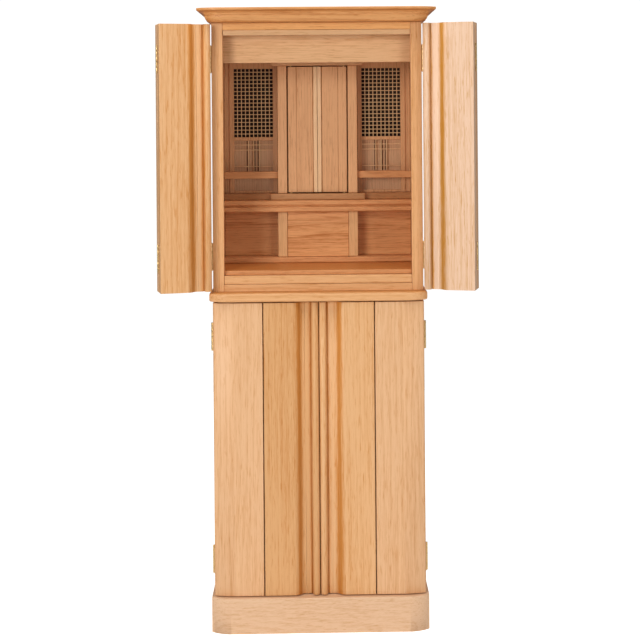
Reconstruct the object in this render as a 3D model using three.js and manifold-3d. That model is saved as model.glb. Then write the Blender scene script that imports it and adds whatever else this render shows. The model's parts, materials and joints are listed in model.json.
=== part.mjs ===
// A household altar cabinet in pale wood: a plain lower cupboard, an upper altar niche behind
// folding doors, a swept plinth, a waist board and a moulded crown.
// Millimetres, +Z up, the front faces -Y, and the origin is under the middle of the whole object.
import Module from 'manifold-3d';
import * as THREE from 'three';
import { mergeGeometries, mergeVertices } from 'three/addons/utils/BufferGeometryUtils.js';

const wasm = await Module();
wasm.setup();

// Clearances
const fit = 0.3; // gap left where two fixed pieces touch
const slideGap = 0.5; // above, below and beside the pull-out board
const leafClearance = 1.5; // between a closed door leaf and the carcass front
const upperLeafEndGap = 4; // above and below an upper door leaf
const lowerLeafEndGap = 2.2; // above and below a lower door leaf
const centreGap = 1.5; // between the meeting edges of a pair of doors
const seamGap = 2; // between the outer and the inner leaf of a folding door

// Carcass
const bodyHalfWidth = 218;
const bodyDepth = 350;
const sideThickness = 12;
const lowerSideThickness = 18;
const backThickness = 10;

// Plinth
const plinthHeight = 72.3;
const plinthOverhang = 6;
const plinthProjection = 34;
const plinthBoard = 22;
const floorThickness = 18;
const sweepBack = 17; // how far the ends of plinth, waist and crown curve back
const sweepRun = 40; // over how much of their width they do
const sweepSteps = 4;

// Waist board
const waistUnderside = 679;
const waistThickness = 18.7;
const waistOverhang = 7.5;
const waistProjection = 28;
const bullnoseSteps = 6;

// Crown: the overhang of its profile and the height over its underside, from the bottom up
const crownHeight = 29;
const crownProjection = 18; // of the front over the sides' overhang, to cover the closed doors
const crownLip = [2.5, 0];
const crownOvolo = [8.8, 3.6];
const crownBand = [12.4, 9.6];
const crownCoveFoot = [14, 14.6];
const crownCoveHead = [25.6, 22.6];
const crownCyma = [27.8, 24];
const crownFillet = 28.5;

// Front frame of the upper cupboard
const stileWidth = 23;
const frameDepth = 18;
const headRailHeight = 14.5;
const battenHeight = 11;
const battenRecess = 3;
const valanceDepth = 40; // behind the carcass front
const valanceThickness = 10;
const valanceDrop = 82; // of its lower edge under the crown
const baseBoardThickness = 14.7;
const boardThickness = 17.4;
const boardLength = 280;
const altarFloorThickness = 9;
const altarFloorSetback = 11;

// Altar steps, all depths behind the carcass front
const stepDepth = 160;
const stepThickness = 12.2;
const shelfDepth = 150;
const bayHeight = 99.8;
const shelfThickness = 24.6;
const shelfGroove = 4;
const shelfGrooveDepth = 5;
const postWidth = 20.5;
const postInner = 67;
const postSetback = 17; // of the bay posts behind the shelf's edge
const bayBackThickness = 8;
const bayBackGap = 17.5; // between the bay posts and the panel behind them
const bayPanelSetback = 3; // of the middle bay's panel behind the fronts of the posts
const daisDepth = 165;
const daisHalfWidth = 103;
const daisLength = 35;
const daisThickness = 13.6;
const nicheBaseDepth = 185;
const pillarDepth = 175;
const pillarHeight = 280;
const canopyThickness = 6.5;
const canopySlant = 5;
const canopyLap = 12.2; // over the shrine case; the screens stand close behind it
const canopyRoom = 77.5; // between the canopy plate and the crown

// Shrine doors and the case behind them
const shrineDoorSetback = 5; // behind the fronts of the pillars
const shrineDoorThickness = 10;
const shrineDoorEnds = 2.2; // gap above and below
const shrineDoorSide = 2.5; // gap to the pillar
const shrineCentreGap = 1;
const shrineStripWidth = 8.4;
const shrineStripRise = 3;
const shrineGrooveInset = 18; // from the leaf's outer edge
const shrineGrooveWidth = 1.6;
const caseGap = 2; // between the pillars and the case
const caseHalfWidth = 80;
const caseWall = 6;

// Lattice screens and the panels under them
const screenThickness = 7;
const screenInnerStile = 9.5;
const screenOuterStile = 21.1; // with the jamb beside the cabinet's side
const screenPillarGap = 1.5;
const latticeColumns = 10;
const latticeRows = 18;
const latticePitchZ = 8.55;
const latticeBar = 2.4;
const screenTopRail = 14;
const screenMidRail = 7.4;
const screenFootRail = 5;
const kumikoHeight = 68.5;
const kumikoSpacing = 12; // between the three upright bars
const kumikoBarHeights = [11, 47.5, 58.7]; // of the cross bars over the panel's foot
const nicheBackThickness = 5;
const nicheBackLap = 4;
const nicheRailGap = 13; // between a niche rail and the screen behind it
const nicheRailTop = 47.5; // over the niche base
const nicheRailHeight = 15;
const nicheRailThickness = 10;

// Folding doors
const leafThickness = 22;
const upperSeam = 109; // from the middle of the cabinet
const lowerSeam = 115;
const openAngle = 165;
const edgeRound = 8; // how far the outer edge of an outer leaf curves back
const edgeRoundRun = 45;
const edgeRoundSteps = 5;
const beadWidth = 15;
const beadSetback = 1.5;
const beadSteps = 7;
const grooveWidth = 2;
const grooveFloor = 7.5; // wood left under the groove
const hollowWidth = 16;
const hollowFloor = 9;
const hollowCrown = 1.5;
const coveRun = 14;
const coveSteps = 6;

// Hinges
const barrelRadius = 2.2;
const barrelLength = 58;
const barrelSides = 8;
const upperHingeInsets = [73.3, 75.5]; // of a barrel's middle, over the waist board and under the crown
const lowerHingeInsets = [73.7, 73]; // of a barrel's middle, over the plinth and under the waist board

// Places worked out from the sizes above
const hingeX = bodyHalfWidth + barrelRadius + fit;
const foldBehind = barrelRadius + fit; // the fold axis behind a leaf's inside face
const openTurn = THREE.MathUtils.degToRad(openAngle);
const innerHalfWidth = bodyHalfWidth - sideThickness - fit;
const frameInner = bodyHalfWidth - stileWidth;
const upperFoot = waistUnderside + waistThickness + fit;
const baseBoardTop = upperFoot + baseBoardThickness;
const boardFoot = baseBoardTop + slideGap;
const altarFloorFoot = boardFoot + boardThickness + slideGap;
const altarFloorTop = altarFloorFoot + altarFloorThickness;
const stepTop = altarFloorTop + fit + stepThickness;
const shelfFoot = stepTop + bayHeight;
const shelfTop = shelfFoot + shelfThickness;
const daisFoot = shelfTop + fit;
const daisTop = daisFoot + daisThickness;
const nicheFoot = daisTop + fit;
const pillarTop = nicheFoot + pillarHeight;
const canopyFoot = pillarTop + fit;
const crownUnderside = canopyFoot + canopyThickness + canopyRoom;
const bodyTop = crownUnderside - fit;
const pillarOuter = postInner + postWidth;

// The carcass front is set so that the whole object, with its upper doors open, is centred on Y.
function openCornerReach() {
  const origin = new THREE.Vector2(0, 0);
  const fold = new THREE.Vector2(upperSeam - hingeX, foldBehind).rotateAround(origin, openTurn);
  const corner = new THREE.Vector2(-seamGap / 2, -foldBehind - leafThickness);
  corner.rotateAround(origin, openTurn - Math.PI);
  return leafClearance - fold.y - corner.y;
}
const front = (openCornerReach() - bodyDepth) / 2;
const back = front + bodyDepth;
const innerBack = back - backThickness - fit;
const caseFront = front + pillarDepth + postWidth + caseGap;
const canopyBack = caseFront + canopyLap;
const screenY = canopyBack + fit;

function wood(colour, roughness) {
  return new THREE.MeshStandardMaterial({ color: colour, roughness, metalness: 0 });
}

const finishes = {
  door: () => wood(0xe0ad7c, 0.45),
  frame: () => wood(0xdaa478, 0.48),
  base: () => wood(0xddb58e, 0.5),
  crown: () => wood(0xcd9556, 0.45),
  niche: () => wood(0xc28a58, 0.5),
  shrine: () => wood(0xcb976a, 0.48),
  brass: () => new THREE.MeshStandardMaterial({ color: 0xc9a35a, roughness: 0.3, metalness: 0.9 }),
};

const cabinet = new THREE.Group();

function place(name, geometry, material, parent = cabinet) {
  const mesh = new THREE.Mesh(geometry, material);
  mesh.name = name;
  parent.add(mesh);
  return mesh;
}

// A plain board between two corners
function board(x0, x1, y0, y1, z0, z1) {
  const geometry = new THREE.BoxGeometry(x1 - x0, y1 - y0, z1 - z0);
  return geometry.translate((x0 + x1) / 2, (y0 + y1) / 2, (z0 + z1) / 2);
}

function outline(points) {
  return new THREE.Shape(points.map(([u, v]) => new THREE.Vector2(u, v)));
}

// A plan outline in X and Y, raised from z0 to z1
function standing(points, z0, z1) {
  const geometry = new THREE.ExtrudeGeometry(outline(points), { depth: z1 - z0, bevelEnabled: false });
  return geometry.translate(0, 0, z0);
}

// A section in Y and Z, drawn along X from x0 to x1
function along(points, x0, x1) {
  const geometry = new THREE.ExtrudeGeometry(outline(points), { depth: x1 - x0, bevelEnabled: false });
  const turn = new THREE.Matrix4().makeBasis(
    new THREE.Vector3(0, 1, 0),
    new THREE.Vector3(0, 0, 1),
    new THREE.Vector3(1, 0, 0),
  );
  return geometry.applyMatrix4(turn).translate(x0, 0, 0);
}

// A shape in X and Z with its front face at y, as thick as said
function upright(shape, y, thickness) {
  const geometry = new THREE.ExtrudeGeometry(shape, { depth: thickness, bevelEnabled: false });
  return geometry.rotateX(Math.PI / 2).translate(0, y + thickness, 0);
}

// A closed body through level rings of equal count, each anticlockwise from above, the lowest first
function loft(rings) {
  const count = rings[0].points.length;
  const positions = rings.flatMap(({ points, z }) => points.flatMap(([x, y]) => [x, y, z]));
  const index = [];
  for (let level = 0; level < rings.length - 1; level += 1) {
    for (let i = 0; i < count; i += 1) {
      const a = level * count + i;
      const b = level * count + ((i + 1) % count);
      index.push(a, b, b + count, a, b + count, a + count);
    }
  }
  const flat = rings[0].points.map(([x, y]) => new THREE.Vector2(x, y));
  const last = (rings.length - 1) * count;
  for (const [a, b, c] of THREE.ShapeUtils.triangulateShape(flat, [])) {
    index.push(a, c, b);
    index.push(last + a, last + b, last + c);
  }
  const geometry = new THREE.BufferGeometry();
  geometry.setAttribute('position', new THREE.Float32BufferAttribute(positions, 3));
  geometry.setIndex(index);
  geometry.computeVertexNormals();
  return geometry;
}

// The plan of a front whose ends curve back to a sharp arris, with straight sides behind
function sweptPlan(halfWidth, frontY, backY) {
  const left = [];
  for (let i = 0; i <= sweepSteps; i += 1) {
    const t = i / sweepSteps;
    left.push([-halfWidth + sweepRun * t, frontY + sweepBack * (1 - t) ** 2]);
  }
  const right = left.map(([x, y]) => [-x, y]).reverse();
  return [[-halfWidth, backY], ...left, ...right, [halfWidth, backY]];
}

const sides = [
  ['left', -1],
  ['right', 1],
];

// A board on one side of the cabinet, given by its distances from the middle
function sideBoard(sign, inner, outer, y0, y1, z0, z1) {
  return board(Math.min(sign * inner, sign * outer), Math.max(sign * inner, sign * outer), y0, y1, z0, z1);
}

function buildPlinth() {
  const halfWidth = bodyHalfWidth + plinthOverhang;
  const frontY = front - plinthProjection;
  const frontBack = frontY + plinthBoard;
  const inner = halfWidth - plinthBoard;
  const backFace = back - plinthBoard;
  place('plinth_front', standing(sweptPlan(halfWidth, frontY, frontBack), 0, plinthHeight), finishes.base());
  for (const [side, sign] of sides) {
    const geometry = sideBoard(sign, inner, halfWidth, frontBack + fit, back, 0, plinthHeight);
    place(`plinth_${side}`, geometry, finishes.base());
  }
  const behind = inner - fit;
  place('plinth_back', board(-behind, behind, backFace, back, 0, plinthHeight), finishes.base());
  const floorFoot = plinthHeight - floorThickness;
  const floor = board(-behind, behind, frontBack + fit, backFace - fit, floorFoot, plinthHeight);
  place('lower_floor', floor, finishes.base());
}

function buildLowerCupboard() {
  const foot = plinthHeight + fit;
  const top = waistUnderside - fit;
  const inner = bodyHalfWidth - lowerSideThickness;
  for (const [side, sign] of sides) {
    const panel = sideBoard(sign, inner, bodyHalfWidth, front, back, foot, top);
    place(`lower_side_${side}`, panel, finishes.frame());
  }
  const behind = inner - fit;
  place('lower_back', board(-behind, behind, back - backThickness, back, foot, top), finishes.frame());
}

function buildWaistBoard() {
  const radius = waistThickness / 2;
  const rings = [];
  for (let i = 0; i <= bullnoseSteps; i += 1) {
    const angle = Math.PI * (i / bullnoseSteps - 0.5);
    const inset = radius * (1 - Math.cos(angle));
    const halfWidth = bodyHalfWidth + waistOverhang - inset;
    const points = sweptPlan(halfWidth, front - waistProjection + inset, back);
    rings.push({ points, z: waistUnderside + radius * (1 + Math.sin(angle)) });
  }
  place('waist_board', loft(rings), finishes.frame());
}

function buildCrown() {
  const profile = [crownLip];
  const ovoloSteps = 3;
  for (let i = 1; i <= ovoloSteps; i += 1) {
    const angle = (Math.PI / 2) * (i / ovoloSteps);
    const out = crownLip[0] + (crownOvolo[0] - crownLip[0]) * Math.sin(angle);
    profile.push([out, crownLip[1] + (crownOvolo[1] - crownLip[1]) * (1 - Math.cos(angle))]);
  }
  profile.push(crownBand, crownCoveFoot);
  const coveLevels = 3;
  for (let i = 1; i <= coveLevels; i += 1) {
    const angle = (Math.PI / 2) * (i / coveLevels);
    const out = crownCoveFoot[0] + (crownCoveHead[0] - crownCoveFoot[0]) * (1 - Math.cos(angle));
    profile.push([out, crownCoveFoot[1] + (crownCoveHead[1] - crownCoveFoot[1]) * Math.sin(angle)]);
  }
  const filletFoot = crownCyma[1] + (crownFillet - crownCyma[0]);
  profile.push(crownCyma, [crownFillet, filletFoot], [crownFillet, crownHeight]);
  const rings = profile.map(([out, height]) => ({
    points: sweptPlan(bodyHalfWidth + out, front - crownProjection - out, back),
    z: crownUnderside + height,
  }));
  place('crown', loft(rings), finishes.crown());
}

function buildUpperCarcass() {
  for (const [side, sign] of sides) {
    const inner = bodyHalfWidth - sideThickness;
    const panelFront = front + frameDepth + fit;
    const panel = sideBoard(sign, inner, bodyHalfWidth, panelFront, back, upperFoot, bodyTop);
    place(`upper_side_${side}`, panel, finishes.frame());
    const stile = sideBoard(sign, frameInner, bodyHalfWidth, front, front + frameDepth, upperFoot, bodyTop);
    place(`stile_${side}`, stile, finishes.frame());
  }
  const half = innerHalfWidth;
  place('upper_back', board(-half, half, back - backThickness, back, upperFoot, bodyTop), finishes.frame());
  const railFoot = bodyTop - headRailHeight;
  const railBack = front + frameDepth;
  const headSection = [
    [front, railFoot],
    [front, bodyTop],
    [railBack, bodyTop],
    [railBack, railFoot - battenHeight],
    [front + battenRecess, railFoot - battenHeight],
    [front + battenRecess, railFoot],
  ];
  const between = frameInner - fit;
  place('head_rail', along(headSection, -between, between), finishes.crown());
  const valanceY = front + valanceDepth;
  const valanceFoot = crownUnderside - valanceDrop;
  const valance = board(-half, half, valanceY, valanceY + valanceThickness, valanceFoot, bodyTop);
  place('valance', valance, finishes.frame());
}

// A board that fits between the stiles in front and between the sides behind them
function notchedPlan(frontY) {
  const between = frameInner - fit;
  const shoulder = front + frameDepth + fit;
  return [
    [-between, frontY],
    [between, frontY],
    [between, shoulder],
    [innerHalfWidth, shoulder],
    [innerHalfWidth, innerBack],
    [-innerHalfWidth, innerBack],
    [-innerHalfWidth, shoulder],
    [-between, shoulder],
  ];
}

function buildAltarFloor() {
  place('base_board', standing(notchedPlan(front), upperFoot, baseBoardTop), finishes.frame());
  const half = frameInner - slideGap;
  const pullOut = board(-half, half, front, front + boardLength, boardFoot, boardFoot + boardThickness);
  place('pull_out_board', pullOut, finishes.frame());
  const floorPlan = notchedPlan(front + altarFloorSetback);
  place('altar_floor', standing(floorPlan, altarFloorFoot, altarFloorTop), finishes.niche());
}

function buildSteps() {
  const half = innerHalfWidth;
  const stepFoot = altarFloorTop + fit;
  place('step_board', board(-half, half, front + stepDepth, innerBack, stepFoot, stepTop), finishes.niche());
  const edge = front + shelfDepth;
  const lip = (shelfThickness - shelfGroove) / 2;
  const shelfSection = [
    [edge, shelfFoot],
    [edge, shelfFoot + lip],
    [edge + shelfGrooveDepth, shelfFoot + lip],
    [edge + shelfGrooveDepth, shelfTop - lip],
    [edge, shelfTop - lip],
    [edge, shelfTop],
    [innerBack, shelfTop],
    [innerBack, shelfFoot],
  ];
  place('mid_shelf', along(shelfSection, -half, half), finishes.niche());
  const postFront = edge + postSetback;
  const postBack = postFront + postWidth;
  for (const [side, sign] of sides) {
    const post = sideBoard(sign, postInner, pillarOuter, postFront, postBack, stepTop + fit, shelfFoot - fit);
    place(`bay_post_${side}`, post, finishes.niche());
  }
  const panelHalf = postInner - fit;
  const panelFront = postFront + bayPanelSetback;
  const panelBack = panelFront + bayBackThickness;
  const panel = board(-panelHalf, panelHalf, panelFront, panelBack, stepTop + fit, shelfFoot - fit);
  place('bay_panel', panel, finishes.niche());
  const backFront = postBack + bayBackGap;
  const bayBack = board(-half, half, backFront, backFront + bayBackThickness, stepTop + fit, shelfFoot - fit);
  place('bay_back', bayBack, finishes.niche());
}

function buildDais() {
  const daisBack = front + daisDepth + daisLength;
  const dais = board(-daisHalfWidth, daisHalfWidth, front + daisDepth, daisBack, daisFoot, daisTop);
  place('dais', dais, finishes.shrine());
  const notch = daisHalfWidth + fit;
  const baseFront = front + nicheBaseDepth;
  const basePlan = [
    [-innerHalfWidth, baseFront],
    [-notch, baseFront],
    [-notch, daisBack + fit],
    [notch, daisBack + fit],
    [notch, baseFront],
    [innerHalfWidth, baseFront],
    [innerHalfWidth, innerBack],
    [-innerHalfWidth, innerBack],
  ];
  place('niche_base', standing(basePlan, daisFoot, daisTop), finishes.niche());
  for (const [side, sign] of sides) {
    const pillarFront = front + pillarDepth;
    const pillarBack = pillarFront + postWidth;
    const pillar = sideBoard(sign, postInner, pillarOuter, pillarFront, pillarBack, nicheFoot, pillarTop);
    place(`pillar_${side}`, pillar, finishes.shrine());
  }
  const canopy = outline([
    [-daisHalfWidth + canopySlant, canopyFoot],
    [daisHalfWidth - canopySlant, canopyFoot],
    [daisHalfWidth, canopyFoot + canopyThickness],
    [-daisHalfWidth, canopyFoot + canopyThickness],
  ]);
  const canopyFront = front + daisDepth;
  place('canopy_plate', upright(canopy, canopyFront, canopyBack - canopyFront), finishes.shrine());
}

function buildShrine() {
  const caseInner = caseHalfWidth - caseWall;
  const casePlan = [
    [-caseHalfWidth, caseFront],
    [-caseInner, caseFront],
    [-caseInner, innerBack - caseWall],
    [caseInner, innerBack - caseWall],
    [caseInner, caseFront],
    [caseHalfWidth, caseFront],
    [caseHalfWidth, innerBack],
    [-caseHalfWidth, innerBack],
  ];
  place('shrine_case', standing(casePlan, nicheFoot, pillarTop), finishes.shrine());
  const outer = postInner - shrineDoorSide;
  const doorFront = front + pillarDepth + shrineDoorSetback;
  const doorBack = doorFront + shrineDoorThickness;
  const groove = outer - shrineGrooveInset;
  const inner = shrineCentreGap / 2;
  const strip = inner + shrineStripWidth;
  const doorPlan = [
    [outer, doorFront],
    [outer, doorBack],
    [inner, doorBack],
    [inner, doorFront - shrineStripRise],
    [strip, doorFront - shrineStripRise],
    [strip, doorFront],
    [groove - shrineGrooveWidth, doorFront],
    [groove - shrineGrooveWidth / 2, doorFront + shrineGrooveWidth / 2],
    [groove, doorFront],
  ];
  for (const [side, sign] of sides) {
    const plan = doorPlan.map(([x, y]) => [sign * x, y]);
    const geometry = standing(plan, nicheFoot + shrineDoorEnds, pillarTop - shrineDoorEnds);
    place(`shrine_door_${side}`, geometry, finishes.shrine());
  }
}

function toSolid(geometry) {
  const bare = new THREE.BufferGeometry();
  bare.setAttribute('position', geometry.getAttribute('position').clone());
  bare.setIndex(geometry.index.clone());
  const merged = mergeVertices(bare);
  const vertProperties = new Float32Array(merged.getAttribute('position').array);
  const triVerts = new Uint32Array(merged.index.array);
  return new wasm.Manifold(new wasm.Mesh({ numProp: 3, vertProperties, triVerts }));
}

function fromSolid(solid) {
  const mesh = solid.getMesh();
  const geometry = new THREE.BufferGeometry();
  geometry.setAttribute('position', new THREE.BufferAttribute(mesh.vertProperties, 3));
  geometry.setIndex(new THREE.BufferAttribute(mesh.triVerts, 1));
  geometry.computeVertexNormals();
  return geometry;
}

const screenInner = pillarOuter + screenPillarGap;
const latticeInner = screenInner + screenInnerStile;
const latticeOuter = innerHalfWidth - screenOuterStile;
const latticePitchX = (latticeOuter - latticeInner + latticeBar) / latticeColumns;
const kumikoFoot = nicheFoot + nicheRailTop;
const kumikoTop = kumikoFoot + kumikoHeight;
const latticeFoot = kumikoTop + screenMidRail;
const latticeTop = latticeFoot + latticeRows * latticePitchZ - latticeBar;

// Each hole as its distances from the middle of the cabinet and its heights
function latticeHoles() {
  const holes = [];
  for (let column = 0; column < latticeColumns; column += 1) {
    const x = latticeInner + column * latticePitchX;
    for (let row = 0; row < latticeRows; row += 1) {
      const z = latticeFoot + row * latticePitchZ;
      holes.push([x, x + latticePitchX - latticeBar, z, z + latticePitchZ - latticeBar]);
    }
  }
  return holes;
}

// The openings between the bars at the given middles, from low to high
function gaps(low, high, middles) {
  const edges = [low, ...middles.flatMap((m) => [m - latticeBar / 2, m + latticeBar / 2]), high];
  const found = [];
  for (let i = 0; i < edges.length; i += 2) {
    found.push([edges[i], edges[i + 1]]);
  }
  return found;
}

function kumikoHoles() {
  const middle = (latticeInner + latticeOuter) / 2;
  const uprights = [middle - kumikoSpacing, middle, middle + kumikoSpacing];
  const crossBars = kumikoBarHeights.map((height) => kumikoFoot + height);
  return gaps(latticeInner, latticeOuter, uprights).flatMap(([x0, x1]) =>
    gaps(kumikoFoot, kumikoTop, crossBars).map(([z0, z1]) => [x0, x1, z0, z1]),
  );
}

// The one opening under the barred panel, behind and under the niche rail
const footHole = [latticeInner, latticeOuter, nicheFoot + screenFootRail, kumikoFoot - screenMidRail];

function buildScreens() {
  const backY = screenY + screenThickness + fit;
  const railBack = screenY - nicheRailGap;
  const railY = railBack - nicheRailThickness;
  const railTop = nicheFoot + nicheRailTop;
  const railFoot = railTop - nicheRailHeight;
  const holes = [...latticeHoles(), ...kumikoHoles(), footHole];
  for (const [side, sign] of sides) {
    const screenBack = screenY + screenThickness;
    const screenTop = latticeTop + screenTopRail;
    const blank = sideBoard(sign, screenInner, innerHalfWidth, screenY, screenBack, nicheFoot, screenTop);
    const cutters = holes.map(([x0, x1, z0, z1]) =>
      sideBoard(sign, x0, x1, screenY - screenThickness, screenBack + screenThickness, z0, z1),
    );
    const grille = toSolid(blank).subtract(toSolid(mergeGeometries(cutters)));
    place(`lattice_screen_${side}`, fromSolid(grille), finishes.shrine());
    const backInner = latticeInner - nicheBackLap;
    const backOuter = latticeOuter + nicheBackLap;
    const backTop = kumikoTop + nicheBackLap;
    const backEnd = backY + nicheBackThickness;
    const backing = sideBoard(sign, backInner, backOuter, backY, backEnd, nicheFoot, backTop);
    place(`niche_back_${side}`, backing, finishes.niche());
    const rail = sideBoard(sign, pillarOuter + fit, innerHalfWidth, railY, railBack, railFoot, railTop);
    place(`niche_rail_${side}`, rail, finishes.niche());
  }
}

// Plan of an outer leaf, from the hinge axis at the origin towards the middle of the cabinet
function outerLeafPlan(seam) {
  const edge = bodyHalfWidth - hingeX;
  const end = seam + seamGap / 2 - hingeX;
  const points = [[edge, 0]];
  for (let i = 0; i <= edgeRoundSteps; i += 1) {
    const t = i / edgeRoundSteps;
    points.push([edge - edgeRoundRun * t, -leafThickness + edgeRound * (1 - t) ** 2]);
  }
  points.push([end, -leafThickness], [end, 0]);
  return points;
}

// Plan of an inner leaf from the fold axis: flat, a cove, a shallow hollow, a groove and a bead
function innerLeafPlan(seam) {
  const inside = -foldBehind;
  const meeting = centreGap / 2 - seam;
  const face = inside - leafThickness;
  const points = [[-seamGap / 2, inside], [-seamGap / 2, face]];
  const hollowStart = meeting + beadWidth + grooveWidth;
  const coveStart = hollowStart + hollowWidth;
  for (let i = 0; i <= coveSteps; i += 1) {
    const t = i / coveSteps;
    const drop = (leafThickness - hollowFloor) * (0.5 - 0.5 * Math.cos(Math.PI * t));
    points.push([coveStart + coveRun * (1 - t), face + drop]);
  }
  points.push([hollowStart + hollowWidth / 2, inside - hollowFloor - hollowCrown]);
  points.push([hollowStart, inside - hollowFloor]);
  points.push([meeting + beadWidth, inside - grooveFloor]);
  const radius = beadWidth / 2;
  const beadMiddle = face + beadSetback + radius;
  for (let i = 0; i <= beadSteps; i += 1) {
    const angle = (Math.PI * i) / beadSteps;
    points.push([meeting + radius + radius * Math.cos(angle), beadMiddle - radius * Math.sin(angle)]);
  }
  points.push([meeting, inside]);
  return points;
}

function barrel(x, y, middle) {
  const geometry = new THREE.CylinderGeometry(barrelRadius, barrelRadius, barrelLength, barrelSides);
  return geometry.rotateX(Math.PI / 2).translate(x, y, middle);
}

// A folding door: the outer leaf turns on the cabinet side and carries the inner leaf
function buildFoldingDoor(storey, seam, foot, top, turn, hingeHeights, foldHinges) {
  const hingeY = front - leafClearance;
  for (const [side, sign] of sides) {
    const label = `${storey}_${side}`;
    const hinge = new THREE.Group();
    hinge.position.set(sign * hingeX, hingeY, 0);
    hinge.rotation.z = sign * turn;
    cabinet.add(hinge);
    const outerPlan = outerLeafPlan(seam).map(([x, y]) => [sign * x, y]);
    place(`${label}_outer_leaf`, standing(outerPlan, foot, top), finishes.door(), hinge);
    const fold = new THREE.Group();
    fold.position.set(sign * (seam - hingeX), foldBehind, 0);
    fold.rotation.z = turn === 0 ? 0 : sign * -Math.PI;
    hinge.add(fold);
    const innerPlan = innerLeafPlan(seam).map(([x, y]) => [sign * x, y]);
    place(`${label}_inner_leaf`, standing(innerPlan, foot, top), finishes.door(), fold);
    hingeHeights.forEach((middle, i) => {
      const tier = i === 0 ? 'low' : 'high';
      place(`${label}_side_hinge_${tier}`, barrel(sign * hingeX, hingeY, middle), finishes.brass());
      if (foldHinges) {
        const pin = barrel(sign * (seam - hingeX), foldBehind, middle);
        place(`${label}_fold_hinge_${tier}`, pin, finishes.brass(), hinge);
      }
    });
  }
}

buildPlinth();
buildLowerCupboard();
buildWaistBoard();
buildCrown();
buildUpperCarcass();
buildAltarFloor();
buildSteps();
buildDais();
buildShrine();
buildScreens();
const waistTop = waistUnderside + waistThickness;
const upperDoorFoot = waistTop + upperLeafEndGap;
const upperDoorTop = crownUnderside - upperLeafEndGap;
const upperHinges = [waistTop + upperHingeInsets[0], crownUnderside - upperHingeInsets[1]];
buildFoldingDoor('upper', upperSeam, upperDoorFoot, upperDoorTop, openTurn, upperHinges, true);
const lowerDoorFoot = plinthHeight + lowerLeafEndGap;
const lowerDoorTop = waistUnderside - lowerLeafEndGap;
const lowerHinges = [plinthHeight + lowerHingeInsets[0], waistUnderside - lowerHingeInsets[1]];
buildFoldingDoor('lower', lowerSeam, lowerDoorFoot, lowerDoorTop, 0, lowerHinges, false);

export default cabinet;
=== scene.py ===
import json
import math

import bmesh
import bpy
from mathutils import Euler, Matrix, Vector


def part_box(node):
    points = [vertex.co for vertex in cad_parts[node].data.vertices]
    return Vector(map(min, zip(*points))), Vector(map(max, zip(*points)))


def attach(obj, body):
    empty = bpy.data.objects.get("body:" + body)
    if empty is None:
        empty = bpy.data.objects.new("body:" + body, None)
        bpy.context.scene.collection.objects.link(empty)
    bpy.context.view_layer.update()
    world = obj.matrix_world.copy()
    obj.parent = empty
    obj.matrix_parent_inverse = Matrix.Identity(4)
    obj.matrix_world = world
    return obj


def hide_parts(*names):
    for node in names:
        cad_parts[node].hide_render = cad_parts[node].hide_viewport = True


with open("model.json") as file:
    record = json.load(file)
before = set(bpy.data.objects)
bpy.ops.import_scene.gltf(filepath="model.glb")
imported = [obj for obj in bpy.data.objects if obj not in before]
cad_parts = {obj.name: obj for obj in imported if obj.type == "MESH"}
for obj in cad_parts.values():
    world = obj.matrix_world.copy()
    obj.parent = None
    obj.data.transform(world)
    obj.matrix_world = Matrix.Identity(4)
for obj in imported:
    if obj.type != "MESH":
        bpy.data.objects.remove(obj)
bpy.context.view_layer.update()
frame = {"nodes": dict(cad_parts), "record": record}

record = frame["record"]
bodyOf = {node: body for body, nodes in record["behaviour"]["bodies"].items() for node in nodes}
jointOf = {joint["name"]: joint for joint in record["behaviour"]["joints"]}
sides = {"left": -1, "right": 1}
mm = 0.001
print("frame loaded:", len(frame["nodes"]), "nodes")


# node helpers

def addNode(tree, kind, values=None, **settings):
    node = tree.nodes.new(kind)
    for key, value in settings.items():
        setattr(node, key, value)
    for key, value in (values or {}).items():
        node.inputs[key].default_value = value
    return node


def link(tree, source, output, target, slotName):
    tree.links.new(source.outputs[output], target.inputs[slotName])


def newGroup(name, inputs, outputs):
    tree = bpy.data.node_groups.new(name, "ShaderNodeTree")
    for label, kind, value in inputs:
        socket = tree.interface.new_socket(label, in_out="INPUT", socket_type=kind)
        if value is not None:
            socket.default_value = value
    for label, kind in outputs:
        tree.interface.new_socket(label, in_out="OUTPUT", socket_type=kind)
    return tree, tree.nodes.new("NodeGroupInput"), tree.nodes.new("NodeGroupOutput")


def mathNode(tree, operation, first, second=None):
    # first and second are numbers or (node, output) pairs
    node = addNode(tree, "ShaderNodeMath", operation=operation)
    for i, item in enumerate((first, second)):
        if item is None:
            continue
        if isinstance(item, tuple):
            link(tree, item[0], item[1], node, i)
        else:
            node.inputs[i].default_value = item
    return node, 0


def stretchedNoise(tree, source, stretch, detail, roughness=0.55):
    # noise drawn out along the grain, which runs along Z
    spread = addNode(tree, "ShaderNodeVectorMath", operation="MULTIPLY")
    link(tree, source[0], source[1], spread, 0)
    spread.inputs[1].default_value = stretch
    noise = addNode(tree, "ShaderNodeTexNoise", {"Scale": 1.0, "Detail": detail, "Roughness": roughness})
    link(tree, spread, 0, noise, "Vector")
    return noise, "Fac"


def smoothRange(tree, source, low, high, toLow=0.0, toHigh=1.0):
    node = addNode(tree, "ShaderNodeMapRange", interpolation_type="SMOOTHSTEP")
    link(tree, source[0], source[1], node, "Value")
    node.inputs["From Min"].default_value = low
    node.inputs["From Max"].default_value = high
    node.inputs["To Min"].default_value = toLow
    node.inputs["To Max"].default_value = toHigh
    return node, "Result"


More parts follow.
